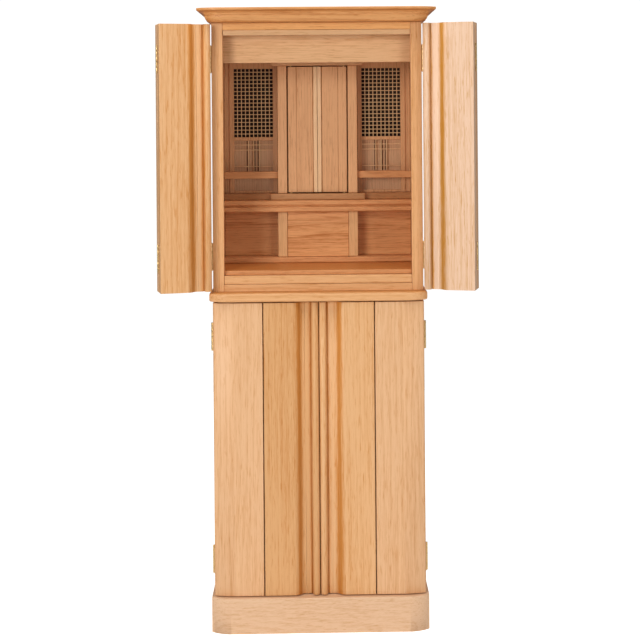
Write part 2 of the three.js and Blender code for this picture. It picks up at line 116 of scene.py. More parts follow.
# cycles to the metre across the grain, twice, and along it
grainStretch = {"sway": (7, 7, 1.6), "ripple": (40, 40, 9), "patch": (22, 22, 2.5), "fibre": (900, 900, 26),
                "streak": (330, 330, 4), "cloud": (14, 14, 2.2), "pore": (480, 480, 34)}
grainValues = {"ripple": 0.12, "ringRise": (0.25, 0.93), "ringFall": (0.93, 1.0), "patch": (0.3, 0.7),
               "patchLeast": 0.35, "cloudMiddle": 0.45, "pore": (0.57, 0.68), "poreDepth": 0.42,
               "roughness": 0.42, "roughGain": 0.12, "fibreHeight": 0.5}


# growth rings round the Z axis of the vector, fine fibres and pores along it
def buildWoodGrain():
    tree, source, sink = newGroup(
        "woodGrain",
        [
            ("Vector", "NodeSocketVector", None),
            ("Light", "NodeSocketColor", (0.75, 0.45, 0.22, 1)),
            ("Dark", "NodeSocketColor", (0.55, 0.26, 0.1, 1)),
            ("Ring Rate", "NodeSocketFloat", 120.0),
            ("Ring Strength", "NodeSocketFloat", 0.5),
            ("Fibre Strength", "NodeSocketFloat", 0.3),
            ("Cloud Strength", "NodeSocketFloat", 0.3),
            ("Waviness", "NodeSocketFloat", 0.004),
            ("Painted Light", "NodeSocketFloat", 0.0),
        ],
        [("Color", "NodeSocketColor"), ("Roughness", "NodeSocketFloat"), ("Height", "NodeSocketFloat")],
    )
    vector = (source, "Vector")
    sway = stretchedNoise(tree, vector, grainStretch["sway"], 2)
    ripple = stretchedNoise(tree, vector, grainStretch["ripple"], 2)
    swayOut = mathNode(tree, "SUBTRACT", sway, 0.5)
    rippleOut = mathNode(tree, "MULTIPLY", mathNode(tree, "SUBTRACT", ripple, 0.5), grainValues["ripple"])
    bend = mathNode(tree, "MULTIPLY", mathNode(tree, "ADD", swayOut, rippleOut), (source, "Waviness"))
    flat = addNode(tree, "ShaderNodeVectorMath", operation="MULTIPLY")
    link(tree, source, "Vector", flat, 0)
    flat.inputs[1].default_value = (1, 1, 0)
    length = addNode(tree, "ShaderNodeVectorMath", operation="LENGTH")
    link(tree, flat, 0, length, 0)
    radius = mathNode(tree, "ADD", (length, "Value"), bend)
    phase = mathNode(tree, "FRACT", mathNode(tree, "MULTIPLY", radius, (source, "Ring Rate")))
    rise = smoothRange(tree, phase, *grainValues["ringRise"])
    fall = smoothRange(tree, phase, *grainValues["ringFall"], 1.0, 0.0)
    latewood = mathNode(tree, "MULTIPLY", rise, fall)
    # rings fade in and out along the board
    patches = stretchedNoise(tree, vector, grainStretch["patch"], 2)
    patch = smoothRange(tree, patches, *grainValues["patch"], grainValues["patchLeast"], 1.0)
    rings = mathNode(tree, "MULTIPLY", latewood, patch)
    ringMask = mathNode(tree, "MULTIPLY", rings, (source, "Ring Strength"))
    fibre = stretchedNoise(tree, vector, grainStretch["fibre"], 2, 0.6)
    streak = stretchedNoise(tree, vector, grainStretch["streak"], 3, 0.65)
    fibres = mathNode(tree, "SUBTRACT", mathNode(tree, "ADD", fibre, streak), 1.0)
    fibreMask = mathNode(tree, "MULTIPLY", fibres, (source, "Fibre Strength"))
    cloud = mathNode(tree, "SUBTRACT", stretchedNoise(tree, vector, grainStretch["cloud"], 3),
                     grainValues["cloudMiddle"])
    cloudMask = mathNode(tree, "MULTIPLY", cloud, (source, "Cloud Strength"))
    pore = smoothRange(tree, stretchedNoise(tree, vector, grainStretch["pore"], 2), *grainValues["pore"])
    poreMask = mathNode(tree, "MULTIPLY", pore, grainValues["poreDepth"])
    # the painted light input darkens the figure where positive, as painted shade, and lightens it where
    # negative, as a painted highlight
    figure = mathNode(tree, "ADD", mathNode(tree, "ADD", ringMask, fibreMask), (source, "Painted Light"))
    total = mathNode(tree, "ADD", figure, mathNode(tree, "ADD", cloudMask, poreMask))
    total[0].use_clamp = True
    mix = addNode(tree, "ShaderNodeMix", data_type="RGBA")
    link(tree, total[0], 0, mix, "Factor")
    tree.links.new(source.outputs["Light"], mix.inputs[6])
    tree.links.new(source.outputs["Dark"], mix.inputs[7])
    tree.links.new(mix.outputs[2], sink.inputs["Color"])
    rough = mathNode(tree, "MULTIPLY", total, grainValues["roughGain"])
    rough = mathNode(tree, "ADD", rough, grainValues["roughness"])
    link(tree, rough[0], 0, sink, "Roughness")
    raised = mathNode(tree, "MULTIPLY", fibre, grainValues["fibreHeight"])
    height = mathNode(tree, "SUBTRACT", raised, mathNode(tree, "ADD", ringMask, pore))
    link(tree, height[0], 0, sink, "Height")
    return tree


woodGrain = buildWoodGrain()

# colours are linear; pith is how far the ring centre lies from the board's middle, across and behind
tones = {
    "door": {"light": (0.8, 0.47, 0.245), "dark": (0.6, 0.26, 0.075), "pith": (0.22, 0.03),
             "rate": 80, "ring": 0.3, "fibre": 1.5, "cloud": 0.8, "wave": 0.045, "tilt": 0.5},
    "inner leaf": {"light": (0.79, 0.445, 0.205), "dark": (0.6, 0.23, 0.04), "pith": (0.28, 0.03),
                   "rate": 80, "ring": 0.3, "fibre": 1.6, "cloud": 0.8, "wave": 0.03, "tilt": 0.4},
    # a paler, lit copy of the inner leaf's tone, as painted sheen
    "painted sheen leaf": {"light": (0.84, 0.56, 0.375), "dark": (0.58, 0.25, 0.03), "pith": (0.28, 0.03),
                  "rate": 80, "ring": 0.2, "fibre": 1.2, "cloud": 0.5, "wave": 0.03, "tilt": 0.4},
    "frame": {"light": (0.8, 0.43, 0.19), "dark": (0.56, 0.225, 0.05), "pith": (0.22, 0.04),
              "rate": 110, "ring": 0.3, "fibre": 1.4, "cloud": 0.6, "wave": 0.02, "tilt": 0.6},
    "base": {"light": (0.78, 0.505, 0.31), "dark": (0.6, 0.31, 0.13), "pith": (0.0, 0.06),
             "rate": 130, "ring": 0.3, "fibre": 1.3, "cloud": 0.6, "wave": 0.03, "tilt": 5.0},
    "crown": {"light": (0.76, 0.36, 0.125), "dark": (0.48, 0.16, 0.03), "pith": (0.05, 0.1),
              "rate": 120, "ring": 0.35, "fibre": 1.5, "cloud": 0.8, "wave": 0.02, "tilt": 1.5},
    "rail": {"light": (0.86, 0.43, 0.15), "dark": (0.58, 0.23, 0.055), "pith": (0.05, 0.1),
             "rate": 120, "ring": 0.25, "fibre": 1.2, "cloud": 0.5, "wave": 0.02, "tilt": 1.5},
    "batten": {"light": (0.74, 0.44, 0.22), "dark": (0.55, 0.27, 0.1), "pith": (0.05, 0.1),
               "rate": 120, "ring": 0.25, "fibre": 1.2, "cloud": 0.4, "wave": 0.02, "tilt": 1.5},
    "valance": {"light": (0.82, 0.47, 0.23), "dark": (0.56, 0.25, 0.08), "pith": (0.0, 0.12),
                "rate": 150, "ring": 0.3, "fibre": 1.6, "cloud": 0.5, "wave": 0.02, "tilt": 1.0},
    "post": {"light": (0.77, 0.43, 0.19), "dark": (0.52, 0.25, 0.085), "pith": (0.2, 0.07),
             "rate": 125, "ring": 0.3, "fibre": 1.4, "cloud": 0.6, "wave": 0.02, "tilt": 0.6},
    "dais": {"light": (0.53, 0.25, 0.098), "dark": (0.35, 0.14, 0.038), "pith": (0.0, 0.07),
             "rate": 125, "ring": 0.35, "fibre": 1.5, "cloud": 0.6, "wave": 0.025, "tilt": 2.0},
    "ledge": {"light": (0.53, 0.235, 0.085), "dark": (0.34, 0.12, 0.028), "pith": (0.0, 0.07),
              "rate": 125, "ring": 0.35, "fibre": 1.5, "cloud": 0.6, "wave": 0.025, "tilt": 2.0},
    "deep leaf": {"light": (0.72, 0.385, 0.16), "dark": (0.54, 0.195, 0.032), "pith": (0.28, 0.03),
                  "rate": 80, "ring": 0.3, "fibre": 1.6, "cloud": 0.8, "wave": 0.03, "tilt": 0.4},
    # dark tone for the strips beside the lattice's upright bars: painted shadow
    "shadowStrip": {"light": (0.22, 0.1, 0.045), "dark": (0.12, 0.05, 0.02), "pith": (0.25, 0.03),
             "rate": 170, "ring": 0.3, "fibre": 1.0, "cloud": 0.4, "wave": 0.015, "tilt": 0.3},
    "strip": {"light": (0.9, 0.57, 0.31), "dark": (0.68, 0.39, 0.175), "pith": (0.25, 0.03),
              "rate": 170, "ring": 0.3, "fibre": 1.0, "cloud": 0.4, "wave": 0.015, "tilt": 0.3},
    "bars": {"light": (0.92, 0.6, 0.31), "dark": (0.66, 0.38, 0.16), "pith": (0.2, 0.07),
             "rate": 125, "ring": 0.2, "fibre": 0.8, "cloud": 0.3, "wave": 0.02, "tilt": 0.6},
    "niche": {"light": (0.7, 0.315, 0.12), "dark": (0.45, 0.15, 0.035), "pith": (0.0, 0.07),
              "rate": 125, "ring": 0.35, "fibre": 1.5, "cloud": 0.6, "wave": 0.025, "tilt": 2.0},
    "bay": {"light": (0.8, 0.385, 0.15), "dark": (0.5, 0.17, 0.035), "pith": (0.0, 0.16),
            "rate": 170, "ring": 0.5, "fibre": 2.2, "cloud": 0.6, "wave": 0.012, "tilt": 0.6},
    # a darker copy of the niche tone for the altar floor's top: painted shade
    "floor": {"light": (0.6, 0.22, 0.05), "dark": (0.42, 0.12, 0.018), "pith": (0.0, 0.07),
              "rate": 125, "ring": 0.35, "fibre": 1.2, "cloud": 0.6, "wave": 0.025, "tilt": 2.0},
    "backing": {"light": (0.68, 0.4, 0.215), "dark": (0.38, 0.18, 0.075), "pith": (0.25, 0.03),
                "rate": 190, "ring": 0.3, "fibre": 1.1, "cloud": 0.4, "wave": 0.012, "tilt": 0.3},
    "shrine": {"light": (0.76, 0.4, 0.185), "dark": (0.5, 0.215, 0.075), "pith": (0.25, 0.03),
               "rate": 170, "ring": 0.3, "fibre": 1.4, "cloud": 0.5, "wave": 0.015, "tilt": 0.3},
    "shade": {"light": (0.03, 0.014, 0.007), "dark": (0.016, 0.008, 0.004), "pith": (0.22, 0.04),
              "rate": 120, "ring": 0.3, "fibre": 1.0, "cloud": 0.5, "wave": 0.02, "tilt": 0.6},
}
turns = {"x": (0, math.pi / 2, 0), "y": (math.pi / 2, 0, 0), "z": (0, 0, 0)}
woodFinish = {"bump": 0.12, "bumpDistance": 0.0004, "specular": 0.35, "coat": 0.05, "coatRoughness": 0.4}
# how far the pattern moves from one board to the next, across, behind and along
patternStep = {"across": 0.013, "behind": 0.004, "along": 0.37}


def makeWood(name, toneName, along, middle, shift=0, paintedLight=0):
    # shift moves the pattern, so that no two boards show the same figure, and paintedLight scales the mesh's
    # hollow attribute into painted shade where it is positive and a painted highlight where it is negative
    tone = tones[toneName]
    material = bpy.data.materials.new(name)
    material.use_nodes = True
    tree = material.node_tree
    shader = tree.nodes["Principled BSDF"]
    coordinates = tree.nodes.new("ShaderNodeTexCoord")
    tilt = math.radians(tone["tilt"]) * (1 if shift % 2 == 0 else -1)
    turn = Euler(turns[along]).to_matrix()
    turned = (Euler((tilt, tilt * 0.3, 0)).to_matrix() @ turn).to_euler()
    place = -(turned.to_matrix() @ Vector(middle))
    across, behind = tone["pith"]
    place += Vector((across + patternStep["across"] * ((shift * 7) % 5),
                     behind + patternStep["behind"] * (shift % 3), patternStep["along"] * shift))
    mapping = addNode(tree, "ShaderNodeMapping", {"Location": place, "Rotation": turned})
    link(tree, coordinates, "Object", mapping, "Vector")
    grain = tree.nodes.new("ShaderNodeGroup")
    grain.node_tree = woodGrain
    grain.inputs["Light"].default_value = (*tone["light"], 1)
    grain.inputs["Dark"].default_value = (*tone["dark"], 1)
    grain.inputs["Ring Rate"].default_value = tone["rate"]
    grain.inputs["Ring Strength"].default_value = tone["ring"]
    grain.inputs["Fibre Strength"].default_value = tone["fibre"]
    grain.inputs["Cloud Strength"].default_value = tone["cloud"]
    grain.inputs["Waviness"].default_value = tone["wave"]
    link(tree, mapping, 0, grain, "Vector")
    if paintedLight:
        depth = addNode(tree, "ShaderNodeAttribute", attribute_name="hollow")
        tarnishAndPaintedLight = mathNode(tree, "MULTIPLY", (depth, "Fac"), paintedLight)
        link(tree, tarnishAndPaintedLight[0], 0, grain, "Painted Light")
    link(tree, grain, "Color", shader, "Base Color")
    link(tree, grain, "Roughness", shader, "Roughness")
    bump = addNode(tree, "ShaderNodeBump",
                   {"Strength": woodFinish["bump"], "Distance": woodFinish["bumpDistance"]})
    link(tree, grain, "Height", bump, "Height")
    link(tree, bump, 0, shader, "Normal")
    shader.inputs["Specular IOR Level"].default_value = woodFinish["specular"]
    shader.inputs["Coat Weight"].default_value = woodFinish["coat"]
    shader.inputs["Coat Roughness"].default_value = woodFinish["coatRoughness"]
    return material


def makeBrass():
    values = {"colour": (0.84, 0.60, 0.29), "tarnishAndPaintedLight": (0.62, 0.40, 0.16), "roughness": (0.3, 0.45),
              "smudge": 240.0, "stainRange": (0.45, 0.75), "roughRange": (0.3, 0.8),
              "bump": 0.08, "bumpDistance": 0.0001}
    material = bpy.data.materials.new("brass")
    material.use_nodes = True
    tree = material.node_tree
    shader = tree.nodes["Principled BSDF"]
    coordinates = tree.nodes.new("ShaderNodeTexCoord")
    smudge = addNode(tree, "ShaderNodeTexNoise", {"Scale": values["smudge"], "Detail": 4.0})
    link(tree, coordinates, "Object", smudge, "Vector")
    mix = addNode(tree, "ShaderNodeMix", data_type="RGBA")
    mask = smoothRange(tree, (smudge, "Fac"), *values["stainRange"])
    link(tree, mask[0], mask[1], mix, "Factor")
    mix.inputs[6].default_value = (*values["colour"], 1)
    mix.inputs[7].default_value = (*values["tarnishAndPaintedLight"], 1)
    tree.links.new(mix.outputs[2], shader.inputs["Base Color"])
    rough = smoothRange(tree, (smudge, "Fac"), *values["roughRange"], *values["roughness"])
    link(tree, rough[0], rough[1], shader, "Roughness")
    bump = addNode(tree, "ShaderNodeBump", {"Strength": values["bump"], "Distance": values["bumpDistance"]})
    link(tree, smudge, "Fac", bump, "Height")
    link(tree, bump, 0, shader, "Normal")
    shader.inputs["Metallic"].default_value = 1.0
    return material


brass = makeBrass()


# mesh helpers

def finishPiece(name, mesh, body, material, replaced=()):
    bmesh.ops.recalc_face_normals(mesh, faces=mesh.faces)
    data = bpy.data.meshes.new(name)
    mesh.to_mesh(data)
    mesh.free()
    piece = bpy.data.objects.new(name, data)
    bpy.context.scene.collection.objects.link(piece)
    data.materials.append(material)
    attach(piece, body)
    if replaced:
        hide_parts(*replaced)
    return piece


def easeEdges(mesh, width, segments=2, leastTurn=25, edges=None):
    # rounds every edge that turns more than leastTurn, and leaves the flats flat
    chosen = edges
    if chosen is None:
        least = math.radians(leastTurn)
        chosen = [e for e in mesh.edges if len(e.link_faces) == 2 and e.calc_face_angle() > least]
    made = bmesh.ops.bevel(mesh, geom=chosen, offset=width, offset_type="OFFSET", segments=segments,
                           profile=0.5, affect="EDGES", clamp_overlap=True, material=-1)
    for face in made["faces"]:
        face.smooth = True


def mergedCopy(nodeName):
    mesh = bmesh.new()
    mesh.from_mesh(frame["nodes"][nodeName].data)
    bmesh.ops.remove_doubles(mesh, verts=mesh.verts, dist=1e-6)
    bmesh.ops.dissolve_limit(mesh, angle_limit=math.radians(0.5), verts=mesh.verts, edges=mesh.edges)
    return mesh


def addSlab(mesh, low, high, ease=0.0003, segments=1):
    made = bmesh.ops.create_cube(mesh, size=1)
    size = Vector(high) - Vector(low)
    middle = (Vector(high) + Vector(low)) / 2
    bmesh.ops.scale(mesh, vec=size, verts=made["verts"])
    bmesh.ops.translate(mesh, vec=middle, verts=made["verts"])
    if ease:
        edges = list({edge for vert in made["verts"] for edge in vert.link_edges})
        easeEdges(mesh, ease, segments, edges=edges)


def addRod(mesh, middle, radius, length, sidesCount=24, ease=0.0):
    turn = Matrix.Translation(middle)
    made = bmesh.ops.create_cone(mesh, cap_ends=True, segments=sidesCount, radius1=radius, radius2=radius,
                                 depth=length, matrix=turn)
    for face in {face for vert in made["verts"] for face in vert.link_faces}:
        face.smooth = len(face.verts) == 4
    if ease:
        rims = [e for e in {e for v in made["verts"] for e in v.link_edges}
                if any(len(f.verts) > 4 for f in e.link_faces)]
        easeEdges(mesh, ease, 2, edges=rims)


def planSolid(points, roundings, z0, z1, endEase=0.0005):
    # a plan outline whose corners are rounded, raised from z0 to z1
    mesh = bmesh.new()
    corners = [mesh.verts.new((x, y, z0)) for x, y in points]
    base = mesh.faces.new(corners)
    for i, (radius, segments) in roundings.items():
        bmesh.ops.bevel(mesh, geom=[corners[i]], offset=radius, offset_type="OFFSET", segments=segments,
                        profile=0.5, affect="VERTICES", clamp_overlap=True, material=-1)
    base = mesh.faces[:][0]
    made = bmesh.ops.extrude_face_region(mesh, geom=[base])
    top = [item for item in made["geom"] if isinstance(item, bmesh.types.BMVert)]
    bmesh.ops.translate(mesh, vec=(0, 0, z1 - z0), verts=top)
    bmesh.ops.recalc_face_normals(mesh, faces=mesh.faces)
    for face in mesh.faces:
        if abs(face.normal.z) < 0.5:
            shortest = min(edge.calc_length() for edge in face.edges)
            face.smooth = shortest < 0.004
    if endEase:
        rims = [e for e in mesh.edges if abs(e.verts[0].co.z - e.verts[1].co.z) < 1e-7]
        easeEdges(mesh, endEase, 1, edges=rims)
    return mesh


# boards that keep the solid's form, with eased arrises and their own figure
boardTone = {
    "plinth_left": ("base", "y"), "plinth_right": ("base", "y"), "plinth_back": ("base", "x"),
    "lower_floor": ("base", "x"), "lower_side_left": ("frame", "z"), "lower_side_right": ("frame", "z"),
    "lower_back": ("frame", "z"), "upper_side_left": ("frame", "z"), "upper_side_right": ("frame", "z"),
    "stile_left": ("frame", "z"), "stile_right": ("frame", "z"), "valance": ("valance", "x"),
    "base_board": ("frame", "x"), "pull_out_board": ("frame", "x"), "step_board": ("niche", "x"),
    "mid_shelf": ("niche", "x"), "bay_post_left": ("post", "z"), "bay_post_right": ("post", "z"),
    "bay_back": ("bay", "x"), "bay_panel": ("bay", "x"), "dais": ("dais", "x"),
    "niche_base": ("ledge", "x"), "pillar_left": ("shrine", "z"), "pillar_right": ("shrine", "z"),
    "canopy_plate": ("shrine", "x"), "shrine_case": ("backing", "z"), "niche_back_left": ("backing", "z"),
    "niche_back_right": ("backing", "z"), "niche_rail_left": ("niche", "x"),
    "niche_rail_right": ("niche", "x"),
}
arris = {"plain": 0.0008, "shelf": 0.0022, "pillar": 0.0016, "board": 0.0014}
softer = {"mid_shelf": "shelf", "pillar_left": "pillar", "pillar_right": "pillar", "bay_post_left": "pillar",
          "bay_post_right": "pillar", "step_board": "shelf", "dais": "pillar", "pull_out_board": "board"}


def middleOf(nodeName):
    low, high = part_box(nodeName)
    return (Vector(low) + Vector(high)) / 2


for shift, (nodeName, (toneName, along)) in enumerate(boardTone.items()):
    mesh = mergedCopy(nodeName)
    easeEdges(mesh, arris[softer.get(nodeName, "plain")], 3)
    material = makeWood("wood_" + nodeName, toneName, along, middleOf(nodeName), shift)
    finishPiece("board_" + nodeName, mesh, bodyOf[nodeName], material, [nodeName])
print("boards eased")


# the upper back's front face, the side that shows through the lattice, is painted near black as painted shade
def buildUpperBack():
    mesh = mergedCopy("upper_back")
    easeEdges(mesh, arris["plain"], 3)
    bmesh.ops.recalc_face_normals(mesh, faces=mesh.faces)
    for face in mesh.faces:
        face.material_index = 1 if face.normal.y < -0.9 else 0
    middle = middleOf("upper_back")
    piece = finishPiece("board_upper_back", mesh, "carcass",
                        makeWood("wood_upper_back", "frame", "z", middle, 9), ["upper_back"])
    piece.data.materials.append(makeWood("painted_shade_upper_back", "shade", "z", middle, 9))


# the altar floor's top takes a darker tone than its front edge: painted shade on the top
def buildAltarFloor():
    mesh = mergedCopy("altar_floor")
    easeEdges(mesh, arris["plain"], 3)
    bmesh.ops.recalc_face_normals(mesh, faces=mesh.faces)
    for face in mesh.faces:
        face.material_index = 1 if face.normal.y < -0.3 else 0
    middle = middleOf("altar_floor")
    piece = finishPiece("board_altar_floor", mesh, "carcass",
                        makeWood("wood_altar_floor", "floor", "x", middle, 3), ["altar_floor"])
    piece.data.materials.append(makeWood("edge_altar_floor", "niche", "x", middle, 6))


# head rail over its paler batten
headRail = {"height": 14.5 * mm, "joint": 0.4 * mm, "ease": 0.8 * mm, "set": 3 * mm}


def buildHeadRail():
    low, high = (Vector(v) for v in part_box("head_rail"))
    split = high.z - headRail["height"]
    rail = bmesh.new()
    addSlab(rail, (low.x, low.y, split), high, headRail["ease"], 2)
    finishPiece("head_rail_board", rail, "carcass",
                makeWood("wood_head_rail", "rail", "x", (low + high) / 2, 7), ["head_rail"])
    batten = bmesh.new()
    foot = Vector((low.x, low.y + headRail["set"], low.z))
    addSlab(batten, foot, (high.x, high.y, split - headRail["joint"]), headRail["ease"], 2)
    finishPiece("head_batten", batten, "carcass",
                makeWood("wood_batten", "batten", "x", (low + high) / 2, 8))


# shrine doors: a flat leaf, a fine line near its outer edge and half of the rounded meeting strip
# seam below is the strength of the painted shade in the seam and in the fine line
shrineDoor = {"strip": 8.4 * mm, "rise": 3 * mm, "line": 18 * mm, "lineWidth": 1.6 * mm, "lineDeep": 0.7,
              "round": 1.6 * mm, "meeting": 0.2 * mm, "corner": 0.8 * mm, "ends": 0.4 * mm, "seam": 1.6,
              "seamDeep": 0.6 * mm, "seamWide": 0.9 * mm, "seamEdge": 2.2 * mm}
# how far the painted shade reaches past the strip, before the flat and behind it
seamShade = {"across": 1.2 * mm, "before": 0.5 * mm, "behind": 0.8 * mm, "near": 0.1 * mm}


def buildShrineDoor(sideName, shift):
    sign = sides[sideName]
    nodeName = "shrine_door_" + sideName
    low, high = (Vector(v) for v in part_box(nodeName))
    inner = min(abs(low.x), abs(high.x))
    outer = max(abs(low.x), abs(high.x))
    flat = low.y + shrineDoor["rise"]
    sunk = flat + shrineDoor["seamDeep"]
    strip = inner + shrineDoor["strip"]
    seamEnd = strip + shrineDoor["seamWide"]
    line = outer - shrineDoor["line"]
    width = shrineDoor["lineWidth"]
    points = [(outer, flat), (outer, high.y), (inner, high.y), (inner, low.y), (strip, low.y), (strip, sunk),
              (seamEnd, sunk), (seamEnd, flat), (strip + shrineDoor["seamEdge"], flat), (line - width, flat),
              (line - width / 2, flat + width * shrineDoor["lineDeep"]), (line, flat)]
    rounding = {0: (shrineDoor["corner"], 2), 3: (shrineDoor["meeting"], 2), 4: (shrineDoor["round"], 6)}
    mesh = planSolid([(sign * x, y) for x, y in points], rounding, low.z, high.z, shrineDoor["ends"])
    tarnishAndPaintedLight = mesh.verts.layers.float.new("hollow")
    near = seamShade["near"]
    # painted shade in the seam beside the meeting strip, full on the right door and half on the left, and in
    # the fine line's groove
    for vert in mesh.verts:
        across = abs(vert.co.x)
        behind = vert.co.y - flat
        if (strip - near < across < strip + seamShade["across"]
                and -seamShade["before"] < behind < seamShade["behind"]):
            vert[tarnishAndPaintedLight] = shrineDoor["seam"] if sign > 0 else shrineDoor["seam"] / 2
        elif line - width - near < across < line + near and seamShade["before"] < behind < width:
            vert[tarnishAndPaintedLight] = shrineDoor["seam"]
    for face in mesh.faces:
        widest = max(abs(vert.co.x) for vert in face.verts)
        deepest = max(vert.co.y for vert in face.verts)
        face.material_index = 1 if widest < strip + near and deepest < flat else 0
    material = makeWood("wood_" + nodeName, "shrine", "z", (low + high) / 2, shift, 1)
    piece = finishPiece("leaf_" + nodeName, mesh, bodyOf[nodeName], material, [nodeName])
    piece.data.materials.append(makeWood("strip_" + nodeName, "strip", "z", (low + high) / 2, shift))


buildUpperBack()
buildAltarFloor()
buildHeadRail()
for shift, sideName in enumerate(sides):
    buildShrineDoor(sideName, shift + 4)
print("head rail and shrine doors built")


# plinth front, waist board and crown with finely swept ends
sweep = {"run": 40 * mm, "back": 17 * mm, "steps": 12}
edging = {"plinth": 2.2 * mm, "waist": 4.6 * mm, "waistShade": 0.8, "waistShadeDepth": 3 * mm}


def sweptOutline(low, high):
    half = high.x
    run = sweep["run"]
    points = [(-half, high.y), (-half, low.y + sweep["back"]), (-half + run / 2, low.y),
              (half - run / 2, low.y), (half, low.y + sweep["back"]), (half, high.y)]
    rounding = {2: (run / 2, sweep["steps"]), 3: (run / 2, sweep["steps"])}
    return points, rounding


def buildPlinthFront():
    low, high = (Vector(v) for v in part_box("plinth_front"))
    points, rounding = sweptOutline(low, high)
    mesh = planSolid(points, rounding, low.z, high.z, 0)
    rims = [e for e in mesh.edges if all(v.co.z > high.z - 1e-6 for v in e.verts)]
    easeEdges(mesh, edging["plinth"], 3, edges=rims)
    material = makeWood("wood_plinth_front", "base", "x", (low + high) / 2, 4)
    finishPiece("plinth_face", mesh, "carcass", material, ["plinth_front"])


def buildWaistBoard():
    low, high = (Vector(v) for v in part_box("waist_board"))
    points, rounding = sweptOutline(low, high)
    mesh = planSolid(points, rounding, low.z, high.z, 0)
    rims = [e for e in mesh.edges if abs(e.verts[0].co.z - e.verts[1].co.z) < 1e-7
            and not all(v.co.y > high.y - 1e-5 for v in e.verts)]
    easeEdges(mesh, edging["waist"], 5, edges=rims)
    # a painted shadow line along the top of the waist board, fading out downwards over its depth
    tarnishAndPaintedLight = mesh.verts.layers.float.new("hollow")
    for vert in mesh.verts:
        vert[tarnishAndPaintedLight] = min(max((vert.co.z - high.z) / edging["waistShadeDepth"] + 1, 0), 1)
    material = makeWood("wood_waist_board", "frame", "x", (low + high) / 2, 3, edging["waistShade"])
    finishPiece("waist_moulding", mesh, "carcass", material, ["waist_board"])


# the crown's section in mm, as overhang and height over the underside, from the bottom up
crown = {"start": 2.5, "foot": (6.3, 3.6), "wave": [(10.2, 5.2), (11.4, 7.4), (12.2, 9.8), (12.5, 12.4)],
         "step": [(12.4, 14.4), (13.6, 14.9), (14.0, 15.4)], "cove": (11.6, 7.4), "steps": 6,
         "lip": [(26.6, 22.9), (27.8, 23.6), (28.5, 24.6), (28.5, 28.2), (27.7, 29.0)], "tip": 28.5 * mm}


def crownProfile():
    quarter = [math.pi / 2 * i / crown["steps"] for i in range(1, crown["steps"] + 1)]
    out, up = crown["foot"]
    foot = [(crown["start"] + out * math.sin(angle), up * (1 - math.cos(angle))) for angle in quarter]
    coveOut, coveUp = crown["step"][-1]
    out, up = crown["cove"]
    cove = [(coveOut + out * (1 - math.cos(angle)), coveUp + up * math.sin(angle)) for angle in quarter]
    profile = [(crown["start"], 0.0), *foot, *crown["wave"], *crown["step"], *cove, *crown["lip"]]
    return [(across * mm, height * mm) for across, height in profile]


# painted light at each height over the crown's underside, in mm: positive values paint shade at the foot, at
# the step, lightly in the cove and under the lip, and negative values paint a highlight on the band and on the
# lip
crownShadeAndHighlight = [(0, 0.4), (3, 0.25), (5, 0.0), (9, -0.3), (12, -0.25), (14, 0.35), (16, 0.1), (20, 0.12),
              (22.5, 0.5), (24, 0.5), (25.5, -0.15), (29, -0.1)]


def shadeAndHighlightAt(height):
    for (low, first), (high, second) in zip(crownShadeAndHighlight, crownShadeAndHighlight[1:]):
        if low * mm <= height <= high * mm:
            return first + (second - first) * (height / mm - low) / (high - low)
    return crownShadeAndHighlight[-1][1]


def buildCrown():
    low, high = (Vector(v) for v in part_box("crown"))
    profile = crownProfile()
    tip = crown["tip"]
    reach = high.y - low.y
    start = profile[0][0]
    points, rounding = sweptOutline(Vector((0, low.y + tip - start, 0)),
                                    Vector((high.x - tip + start, high.y, 0)))
    mesh = bmesh.new()
    corners = [mesh.verts.new((x, y, low.z)) for x, y in points]
    mesh.faces.new(corners)
    for i, (radius, segments) in rounding.items():
        bmesh.ops.bevel(mesh, geom=[corners[i]], offset=radius, offset_type="OFFSET", segments=segments,
                        profile=0.5, affect="VERTICES", clamp_overlap=True, material=-1)
    top = mesh.faces[:][0]
    for level, ((out, height), (nextOut, nextHeight)) in enumerate(zip(profile, profile[1:])):
        made = bmesh.ops.extrude_face_region(mesh, geom=[top])
        if level > 0:
            bmesh.ops.delete(mesh, geom=[top], context="FACES_ONLY")
        verts = [item for item in made["geom"] if isinstance(item, bmesh.types.BMVert)]
        top = [item for item in made["geom"] if isinstance(item, bmesh.types.BMFace)][0]
        wide = (high.x - tip + nextOut) / (high.x - tip + out)
        deep = (reach - tip + nextOut) / (reach - tip + out)
        pin = Matrix.Translation(Vector((0, -high.y, 0)))
        bmesh.ops.scale(mesh, vec=(wide, deep, 1), space=pin, verts=verts)
        bmesh.ops.translate(mesh, vec=(0, 0, nextHeight - height), verts=verts)
    bmesh.ops.recalc_face_normals(mesh, faces=mesh.faces)
    for face in mesh.faces:
        face.smooth = face.calc_area() < 0.003
    for edge in mesh.edges:
        if len(edge.link_faces) == 2 and edge.calc_face_angle() > math.radians(28):
            edge.smooth = False
    # painted shade and painted highlight along the crown's profile, by height
    tarnishAndPaintedLight = mesh.verts.layers.float.new("hollow")
    for vert in mesh.verts:
        vert[tarnishAndPaintedLight] = shadeAndHighlightAt(vert.co.z - low.z)
    material = makeWood("wood_crown_board", "crown", "x", (low + high) / 2, 5, 1)
    finishPiece("crown_moulding", mesh, "carcass", material, ["crown"])


buildPlinthFront()
buildWaistBoard()
buildCrown()
print("plinth, waist and crown built")


